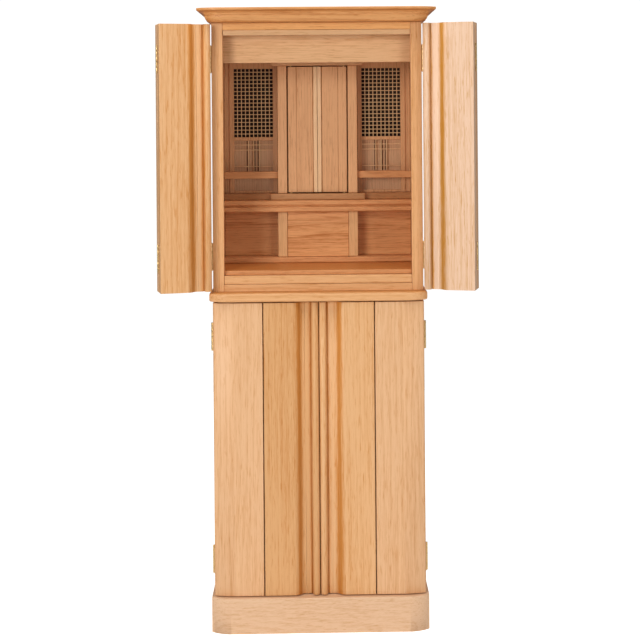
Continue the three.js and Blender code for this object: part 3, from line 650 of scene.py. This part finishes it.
# folding doors: the section is drawn closed, about the hinge, then turned to where the leaf rests
# the inner leaves' hollows take painted shade at the strength given below
leaf = {"thickness": 22 * mm, "edge": 2.5 * mm, "seam": 1 * mm, "behind": 2.5 * mm, "centre": 0.75 * mm,
        "bead": 15 * mm, "beadSet": 1.5 * mm, "groove": 2 * mm, "grooveFloor": 7.5 * mm, "hollow": 16 * mm,
        "hollowFloor": 9 * mm, "hollowCrown": 1.5 * mm, "cove": 14 * mm, "round": 45 * mm, "roundBack": 8 * mm,
        "tarnishAndPaintedLight": 1, "backCorner": 0.8 * mm, "seamRound": 1.2 * mm, "hingeRound": 2.5 * mm, "roundShare": 0.94,
        "coveRound": 6.5 * mm, "crownRound": 5 * mm, "beadRound": 7.2 * mm, "meetingRound": 0.6 * mm,
        "coveLead": 3 * mm, "coveFoot": 2 * mm, "grooveLean": 0.9 * mm, "ends": 0.5 * mm}
opened = {"outer": 165, "inner": 180}

# the painted light's peaks: how far from the meeting edge they lie, how wide they are and how strong; positive
# peaks paint shade, the negative one a highlight
leafShadeAndHighlight = [(16.5 * mm, 2.8 * mm, 0.75), (26.0 * mm, 5.0 * mm, -0.35), (40.5 * mm, 6.0 * mm, 1.0)]


def outerOutline(run):
    thick = leaf["thickness"]
    edge = -leaf["edge"]
    end = -run + leaf["seam"]
    points = [(edge, 0), (edge, -thick + leaf["roundBack"]), (edge - leaf["round"] / 2, -thick), (end, -thick),
              (end, 0)]
    back = (leaf["backCorner"], 2)
    rounding = {0: back, 1: (leaf["hingeRound"], 4), 2: (leaf["round"] / 2 * leaf["roundShare"], 14),
                3: (leaf["seamRound"], 3), 4: back}
    return points, rounding


def innerOutline(seam):
    inside = -leaf["behind"]
    face = inside - leaf["thickness"]
    meeting = leaf["centre"] - seam
    hollowStart = meeting + leaf["bead"] + leaf["groove"]
    coveStart = hollowStart + leaf["hollow"]
    floor = inside - leaf["hollowFloor"]
    beadTop = face + leaf["beadSet"]
    points = [
        (-leaf["seam"], inside),
        (-leaf["seam"], face),
        (coveStart + leaf["cove"] - leaf["coveLead"], face),
        (coveStart + leaf["coveFoot"], floor),
        (hollowStart + leaf["hollow"] / 2, floor - leaf["hollowCrown"]),
        (hollowStart, floor),
        (hollowStart - leaf["grooveLean"], inside - leaf["grooveFloor"]),
        (meeting + leaf["bead"], inside - leaf["grooveFloor"]),
        (meeting + leaf["bead"], beadTop),
        (meeting, beadTop),
        (meeting, inside),
    ]
    cove = (leaf["coveRound"], 7)
    bead = (leaf["beadRound"], 10)
    rounding = {0: (leaf["backCorner"], 2), 1: (leaf["seamRound"], 3), 2: cove, 3: cove,
                4: (leaf["crownRound"], 5), 8: bead, 9: bead, 10: (leaf["meetingRound"], 2)}
    return points, rounding


def hingeFrames(storey, sideName):
    # where the outer and the inner leaf's own axes stand at rest
    sign = sides[sideName]
    label = storey + "_" + sideName
    sidePin = Vector(jointOf[label + "_door"]["pos_m"])
    foldPin = Vector(jointOf[label + "_fold"]["pos_m"])
    sidePin.z = foldPin.z = 0
    outerTurn = math.radians(opened["outer"]) if storey == "upper" else 0
    innerTurn = outerTurn - math.radians(opened["inner"]) if storey == "upper" else 0
    outer = Matrix.Translation(sidePin) @ Matrix.Rotation(sign * outerTurn, 4, "Z")
    inner = Matrix.Translation(foldPin) @ Matrix.Rotation(sign * innerTurn, 4, "Z")
    run = math.sqrt((foldPin - sidePin).length_squared - leaf["behind"] ** 2)
    return outer, inner, run, abs(sidePin.x)


def paintHollowShading(mesh, meeting):
    # painted shade in the groove and along the foot of the cove, and a painted highlight on the hollow's crown
    # between them
    hollow = mesh.verts.layers.float.new("hollow")
    deepest = -leaf["behind"] - leaf["grooveFloor"] + 0.1 * mm
    for vert in mesh.verts:
        across = abs(abs(vert.co.x) - abs(meeting))
        if vert.co.y < deepest:
            vert[hollow] = sum(peak * math.exp(-(((across - place) / width) ** 2))
                               for place, width, peak in leafShadeAndHighlight)


def buildLeaf(storey, sideName, kind, shift):
    sign = sides[sideName]
    nodeName = f"{storey}_{sideName}_{kind}_leaf"
    outer, inner, run, hingeX = hingeFrames(storey, sideName)
    low, high = (Vector(v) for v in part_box(nodeName))
    points, rounding = outerOutline(run) if kind == "outer" else innerOutline(hingeX - run)
    mesh = planSolid([(sign * x, y) for x, y in points], rounding, low.z, high.z, leaf["ends"])
    if kind == "inner":
        paintHollowShading(mesh, leaf["centre"] - (hingeX - run))
    bmesh.ops.transform(mesh, matrix=outer if kind == "outer" else inner, verts=mesh.verts)
    tone, tarnishAndPaintedLight = ("door", 0) if kind == "outer" else ("inner leaf", leaf["tarnishAndPaintedLight"])
    # the upper right inner leaf takes the paler, lit copy of the tone as painted sheen
    tone = {"upper_right_inner_leaf": "painted sheen leaf", "lower_left_inner_leaf": "deep leaf"}.get(nodeName, tone)
    material = makeWood("wood_" + nodeName, tone, "z", (low + high) / 2, shift, tarnishAndPaintedLight)
    finishPiece("door_" + nodeName, mesh, bodyOf[nodeName], material, [nodeName])


shift = 0
for storey in ("upper", "lower"):
    for sideName in sides:
        for kind in ("outer", "inner"):
            shift += 1
            buildLeaf(storey, sideName, kind, shift)
print("doors built")


# hinges: knuckled barrels, plates and screws
hinge = {"length": 58 * mm, "radius": 2.2 * mm, "knuckles": 5, "gap": 0.2 * mm, "rim": 0.35 * mm,
         "pinShare": 0.6, "plate": 0.8 * mm, "plateEnds": 1.5 * mm, "plateEase": 0.25 * mm,
         "plateWidth": 15 * mm, "edgeShare": 0.72, "reach": 1.4 * mm, "screw": 2.4 * mm, "screwTaper": 0.8,
         "screwRise": 0.25 * mm, "screwSpread": 20 * mm}


def barrelMesh(x, y, middle):
    mesh = bmesh.new()
    each = hinge["length"] / hinge["knuckles"]
    for i in range(hinge["knuckles"]):
        z = middle + (i - (hinge["knuckles"] - 1) / 2) * each
        addRod(mesh, (x, y, z), hinge["radius"], each - hinge["gap"], 20, hinge["rim"])
    addRod(mesh, (x, y, middle), hinge["radius"] * hinge["pinShare"], hinge["length"] - 2 * hinge["gap"], 12)
    return mesh


def addScrew(mesh, middle, turn):
    # a countersunk head whose face looks along the turned Z
    bmesh.ops.create_cone(mesh, cap_ends=True, segments=16, radius1=hinge["screw"],
                          radius2=hinge["screw"] * hinge["screwTaper"], depth=2 * hinge["screwRise"],
                          matrix=Matrix.Translation(middle) @ turn)


def hingePlate(name, body, x0, x1, y0, y1, middle, facing, place=Matrix.Identity(4)):
    # facing is the way that the screw heads look, in the plate's own frame
    mesh = bmesh.new()
    half = hinge["length"] / 2 - hinge["plateEnds"]
    addSlab(mesh, (min(x0, x1), y0, middle - half), (max(x0, x1), y1, middle + half), hinge["plateEase"])
    look = Vector(facing).to_track_quat("Z", "Y").to_matrix().to_4x4()
    centre = Vector(((x0 + x1) / 2, (y0 + y1) / 2, middle))
    surface = Vector(facing) * hinge["plate"] / 2
    for step in (-1, 0, 1):
        addScrew(mesh, centre + surface + Vector((0, 0, step * hinge["screwSpread"])), look)
    bmesh.ops.transform(mesh, matrix=place, verts=mesh.verts)
    finishPiece(name, mesh, body, brass)


def buildDoorHinges(storey, sideName, middles):
    sign = sides[sideName]
    label = f"{storey}_{sideName}"
    outer, inner, run, _ = hingeFrames(storey, sideName)
    axis = outer.translation
    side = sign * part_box("upper_side_right")[1][0]
    plate = sign * hinge["plate"]
    reach = hinge["reach"]
    wide = reach + hinge["plateWidth"]
    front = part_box("stile_right")[0][1]
    edge = -sign * leaf["edge"]
    edgeWide = reach + hinge["plateWidth"] * hinge["edgeShare"]
    inside = -leaf["behind"]
    inFront = inside + hinge["plate"]
    foldAt = Matrix.Translation(Vector((-sign * run, leaf["behind"], 0)))
    for tier, middle in zip(("low", "high"), middles):
        sideNode = f"{label}_side_hinge_{tier}"
        barrel = barrelMesh(axis.x, axis.y, middle)
        finishPiece("barrel_" + sideNode, barrel, "carcass", brass, [sideNode])
        hingePlate(f"{label}_side_plate_{tier}", "carcass", side, side + plate, front + reach, front + wide,
                   middle, (sign, 0, 0))
        hingePlate(f"{label}_edge_plate_{tier}", label + "_outer", edge, edge + plate, -edgeWide, -reach,
                   middle, (sign, 0, 0), outer)
        foldName = f"{label}_fold_hinge_{tier}"
        barrel = barrelMesh(0, 0, middle)
        bmesh.ops.transform(barrel, matrix=inner, verts=barrel.verts)
        replaced = [foldName] if foldName in frame["nodes"] else []
        finishPiece("barrel_" + foldName, barrel, label + "_outer", brass, replaced)
        hingePlate(f"{label}_fold_plate_{tier}", label + "_inner", -sign * reach, -sign * wide, inside, inFront,
                   middle, (0, 1, 0), inner)
        hingePlate(f"{label}_outer_plate_{tier}", label + "_outer", sign * reach, sign * wide, inside, inFront,
                   middle, (0, 1, 0), outer @ foldAt)


for storey in ("upper", "lower"):
    middles = [middleOf(f"{storey}_right_side_hinge_{tier}").z for tier in ("low", "high")]
    for sideName in sides:
        buildDoorHinges(storey, sideName, middles)
print("hinges built")


# lattice screens: half-lapped bars in a frame, with the cross-barred panel below
screen = {"innerStile": 9.5 * mm, "outerStile": 10.5 * mm, "pitchX": 8.85 * mm, "pitchZ": 8.55 * mm,
          "bar": 2.4 * mm, "columns": 10, "rows": 18, "topRail": 14 * mm, "midRail": 7.4 * mm,
          "kumiko": 68.5 * mm, "spacing": 12 * mm,
          "cross": (11 * mm, 47.5 * mm, 58.7 * mm), "set": 0.7 * mm, "jambBack": 3 * mm, "footRail": 5 * mm,
          "fineBar": 1.6 * mm, "barBack": 3.2 * mm, "shadowStrip": 2.4 * mm, "shadowStripDeep": 0.4 * mm,
          "shadowStripGap": 0.1 * mm, "railSet": 0.2 * mm, "lap": 0.15 * mm, "lapBack": 0.1 * mm, "ease": 0.3 * mm,
          "barEase": 0.25 * mm}
# on which side of each upright bar the dark strip lies, a painted shadow of the bar, from the middle of the
# cabinet outwards
shadowStripSides = ((-1, -1), (0, 1), (1, -1))


def buildScreen(sideName, shift):
    sign = sides[sideName]
    nodeName = "lattice_screen_" + sideName
    low, high = (Vector(v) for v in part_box(nodeName))
    near = min(abs(low.x), abs(high.x))
    far = max(abs(low.x), abs(high.x))
    inner = near + screen["innerStile"]
    outer = inner + screen["columns"] * screen["pitchX"] - screen["bar"]
    latticeTop = high.z - screen["topRail"]
    latticeFoot = latticeTop - screen["rows"] * screen["pitchZ"] + screen["bar"]
    kumikoTop = latticeFoot - screen["midRail"]
    kumikoFoot = kumikoTop - screen["kumiko"]
    mesh = bmesh.new()
    bars = bmesh.new()
    shadowStrips = bmesh.new()

    def slab(x0, x1, z0, z1, frontSet=0.0, backSet=0.0, ease=screen["ease"], into=None):
        a, b = sorted((sign * x0, sign * x1))
        addSlab(into or mesh, (a, low.y + frontSet, z0), (b, high.y - backSet, z1), ease)

    def fineSlab(x0, x1, z0, z1, frontSet, backSet):
        # a bar of the lattice, slimmer than the solid's
        slim = (screen["bar"] - screen["fineBar"]) / 2
        if x1 - x0 < z1 - z0:
            slab(x0 + slim, x1 - slim, z0, z1, frontSet, backSet, screen["barEase"], bars)
        else:
            slab(x0, x1, z0 + slim, z1 - slim, frontSet, backSet, screen["barEase"], bars)

    slab(near, inner, low.z, high.z)
    slab(outer, outer + screen["outerStile"], low.z, high.z)
    slab(outer + screen["outerStile"], far, low.z, high.z, screen["jambBack"])
    rails = [(latticeTop, high.z), (kumikoTop, latticeFoot), (kumikoFoot - screen["midRail"], kumikoFoot),
             (low.z, low.z + screen["footRail"])]
    for z0, z1 in rails:
        slab(inner, outer, z0, z1, screen["railSet"])
    upright = (screen["set"], screen["barBack"])
    level = (screen["set"] + screen["lap"], screen["barBack"] + screen["lapBack"])
    for i in range(1, screen["columns"]):
        x = inner + i * screen["pitchX"] - screen["bar"]
        fineSlab(x, x + screen["bar"], latticeFoot, latticeTop, *upright)
    for i in range(1, screen["rows"]):
        z = latticeFoot + i * screen["pitchZ"] - screen["bar"]
        fineSlab(inner, outer, z, z + screen["bar"], *level)
    middle = (inner + outer) / 2
    half = screen["bar"] / 2
    for step in (-1, 0, 1):
        x = middle + step * screen["spacing"]
        fineSlab(x - half, x + half, kumikoFoot, kumikoTop, *upright)
    for height in screen["cross"]:
        z = kumikoFoot + height
        fineSlab(inner, outer, z - half, z + half, *level)
    # thin dark strips at the back of the screen beside the upright bars, painted shadows of the bars
    wide = screen["shadowStrip"] / 2
    sunk = high.y - low.y - screen["shadowStripDeep"]
    for step, side in shadowStripSides:
        x = middle + sign * (step * screen["spacing"] + side * (half + wide + screen["shadowStripGap"]))
        slab(x - wide, x + wide, kumikoFoot, kumikoTop, sunk, 0.0, 0, shadowStrips)
    material = makeWood("wood_" + nodeName, "shrine", "z", (low + high) / 2, shift)
    finishPiece("screen_" + sideName, mesh, "carcass", material, [nodeName])
    barWood = makeWood("bars_" + nodeName, "bars", "z", (low + high) / 2, shift + 1)
    finishPiece("bars_" + sideName, bars, "carcass", barWood)
    shadowStripWood = makeWood("shadowStrips_" + nodeName, "shadowStrip", "z", (low + high) / 2, shift + 1)
    finishPiece("shadowStrips_" + sideName, shadowStrips, "carcass", shadowStripWood)


for shift, sideName in enumerate(sides):
    buildScreen(sideName, shift + 2)
print("screens built")


# pivot pins of the shrine doors
pin = {"radius": 1.6 * mm, "collar": 3.2 * mm, "collarHeight": 0.9 * mm}
for sideName in sides:
    joint = jointOf[f"shrine_{sideName}_door"]["pos_m"]
    low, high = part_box("shrine_door_" + sideName)
    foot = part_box("dais")[1][2]
    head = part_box("canopy_plate")[0][2]
    for end, z0, z1 in (("foot", foot, low[2]), ("head", high[2], head)):
        mesh = bmesh.new()
        addRod(mesh, (joint[0], joint[1], (z0 + z1) / 2), pin["radius"], z1 - z0, 16)
        collarZ = z0 + pin["collarHeight"] / 2 if end == "foot" else z1 - pin["collarHeight"] / 2
        addRod(mesh, (joint[0], joint[1], collarZ), pin["collar"], pin["collarHeight"], 20, 0.2 * mm)
        finishPiece(f"shrine_pivot_{sideName}_{end}", mesh, "carcass", brass)
print("pivot pins built")


# floor, light and camera
def buildStage():
    values = {"colour": (0.92, 0.92, 0.92, 1), "half": 2.4, "glow": 0.12, "seen": 0.78}
    mesh = bmesh.new()
    bmesh.ops.create_grid(mesh, x_segments=1, y_segments=1, size=values["half"])
    data = bpy.data.meshes.new("floor")
    mesh.to_mesh(data)
    mesh.free()
    floor = bpy.data.objects.new("floor", data)
    bpy.context.scene.collection.objects.link(floor)
    material = bpy.data.materials.new("floorPaint")
    material.use_nodes = True
    shader = material.node_tree.nodes["Principled BSDF"]
    shader.inputs["Base Color"].default_value = values["colour"]
    shader.inputs["Roughness"].default_value = 0.85
    shader.inputs["Emission Color"].default_value = (1, 1, 1, 1)
    tree = material.node_tree
    path = tree.nodes.new("ShaderNodeLightPath")
    glow = addNode(tree, "ShaderNodeMapRange")
    glow.inputs["To Min"].default_value = values["glow"]
    glow.inputs["To Max"].default_value = values["seen"]
    link(tree, path, "Is Camera Ray", glow, "Value")
    link(tree, glow, "Result", shader, "Emission Strength")
    data.materials.append(material)


def addLight(name, place, target, size, power):
    light = bpy.data.lights.new(name, "AREA")
    light.shape = "RECTANGLE"
    light.size, light.size_y = size
    light.energy = power
    lamp = bpy.data.objects.new(name, light)
    bpy.context.scene.collection.objects.link(lamp)
    lamp.location = place
    lamp.rotation_euler = (Vector(target) - Vector(place)).to_track_quat("-Z", "Y").to_euler()


lights = {
    "key": {"place": (-1.8, -3.3, 1.55), "target": (0, 0, 0.75), "size": (1.2, 1.6), "power": 55},
    "fill": {"place": (1.7, -3.3, 1.3), "target": (0, 0, 0.7), "size": (1.0, 1.6), "power": 20},
    "top": {"place": (0, -0.6, 3.6), "target": (0, 0, 0.6), "size": (2.6, 2.6), "power": 78},
}
worldLight = {"seen": 1.05, "strength": 0.18}


def buildLight():
    for name, values in lights.items():
        addLight(name, values["place"], values["target"], values["size"], values["power"])
    world = bpy.data.worlds.new("studio")
    bpy.context.scene.world = world
    world.use_nodes = True
    tree = world.node_tree
    background = tree.nodes["Background"]
    background.inputs["Color"].default_value = (1, 1, 1, 1)
    # the sky shows white behind the cabinet, and lights it more gently
    path = tree.nodes.new("ShaderNodeLightPath")
    strength = addNode(tree, "ShaderNodeMapRange")
    strength.inputs["To Min"].default_value = worldLight["strength"]
    strength.inputs["To Max"].default_value = worldLight["seen"]
    link(tree, path, "Is Camera Ray", strength, "Value")
    link(tree, strength, "Result", background, "Strength")


# the photograph was taken nearly level, turned a little to the right, with the frame shifted down
camera = {"sensor": 36, "clip": 60, "distance": 3.0, "height": 1.066, "aside": 6.2 * mm, "lens": 81.3,
          "shift": -0.323, "turned": 1.22, "lean": 0.45, "left": 0.0001}


def buildCamera():
    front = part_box("stile_right")[0][1]
    data = bpy.data.cameras.new("camera")
    data.lens = camera["lens"]
    data.sensor_width = camera["sensor"]
    data.shift_y = camera["shift"]
    data.clip_end = camera["clip"]
    eye = bpy.data.objects.new("camera", data)
    bpy.context.scene.collection.objects.link(eye)
    eye.location = (camera["aside"], front - camera["distance"], camera["height"])
    turned = math.radians(camera["turned"])
    data.shift_x = -math.tan(turned) * data.lens / data.sensor_width - camera["left"]
    eye.rotation_euler = (math.pi / 2, math.radians(camera["lean"]), -turned)
    bpy.context.scene.camera = eye


buildStage()
buildLight()
buildCamera()
bpy.context.scene.view_settings.view_transform = "Standard"
print("stage, light and camera set")
